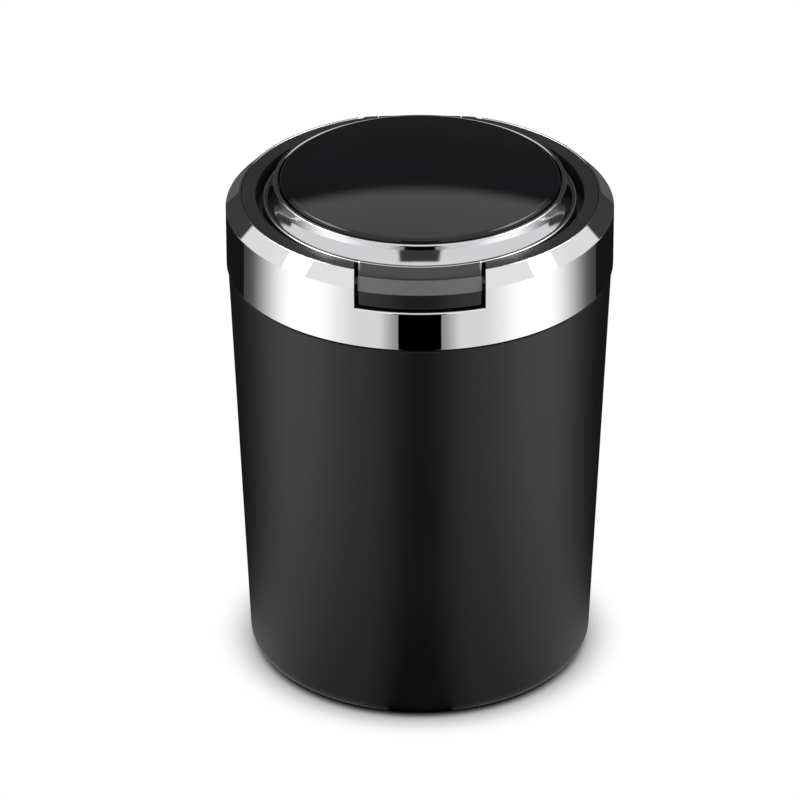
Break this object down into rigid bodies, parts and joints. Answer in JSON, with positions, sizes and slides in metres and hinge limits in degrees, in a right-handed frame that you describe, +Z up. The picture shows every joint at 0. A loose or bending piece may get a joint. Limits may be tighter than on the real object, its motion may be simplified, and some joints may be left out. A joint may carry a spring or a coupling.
{
  "type": "car ashtray",
  "caption": "Tapered black cup for a car's cup holder, with a chrome ringed twist-off head, a hinged lid lifted by a front tab, and a lift-out ash liner.",
  "frame": {"origin": "centre of the foot, on the surface that it stands on", "axes": "+Z up along the cup's axis, the lid's lift tab towards -Y and its hinge towards +Y, +X to the right of someone who faces the tab"},
  "size_m": [0.072, 0.072, 0.1],
  "materials": {
    "cup_plastic": "satin black, fine moulded grain",
    "pad_rubber": "matt dark grey",
    "liner_steel": "drawn steel, fine brushing round the wall",
    "silicone": "soft dark grey",
    "ring_chrome": "bright plating",
    "collar_plastic": "satin black",
    "bright_steel": "ground pin",
    "dish_metal": "cast, satin",
    "screw_steel": "zinc plated",
    "lid_plastic": "satin black",
    "bevel_chrome": "bright plating",
    "disc_gloss": "polished black",
    "inner_plastic": "fine matt grain",
    "lens_clear": "clear, slightly frosted",
    "board_green": "solder mask",
    "led_white": "moulded white with a yellow face",
    "switch_metal": "plated can",
    "cell_steel": "nickel plated",
    "contact_brass": "spring brass"
  },
  "bodies": {
    "cup": {"outer_shell": "cup_plastic", "base_pad": "pad_rubber", "ash_liner": "liner_steel"},
    "seal_ring": {"head_seal": "silicone"},
    "head": {"trim_ring": "ring_chrome", "collar": "collar_plastic", "hinge_pin": "bright_steel", "rest_insert": "dish_metal", "insert_screws": "screw_steel"},
    "lid": {"lid_frame": "lid_plastic", "lid_bezel": "bevel_chrome", "lid_disc": "disc_gloss", "lid_gasket": "silicone", "lid_inner": "inner_plastic", "lid_screws": "screw_steel", "light_lens": "lens_clear", "led_board": "board_green", "leds": "led_white", "tilt_switch": "switch_metal", "coin_cell": "cell_steel", "cell_clip": "contact_brass", "cell_leaf": "contact_brass", "battery_cover": "inner_plastic", "battery_screw": "screw_steel"}
  },
  "joints": [
    {"name": "head_lift", "type": "slide", "parent": "cup", "child": "seal_ring", "axis": [0, 0, 1], "range_m": [0, 0.0052]},
    {"name": "head_turn", "type": "hinge", "parent": "seal_ring", "child": "head", "pos_m": [0, 0, 0.08], "axis": [0, 0, 1], "range_deg": [0, 50]},
    {"name": "lid_hinge", "type": "hinge", "parent": "head", "child": "lid", "pos_m": [0, 0.0312, 0.09215], "axis": [-1, 0, 0], "range_deg": [0, 95]}
  ],
  "couplings": [
    {"joint": "head_lift", "follows": "head_turn", "m_per_rad": 0.005958}
  ]
}
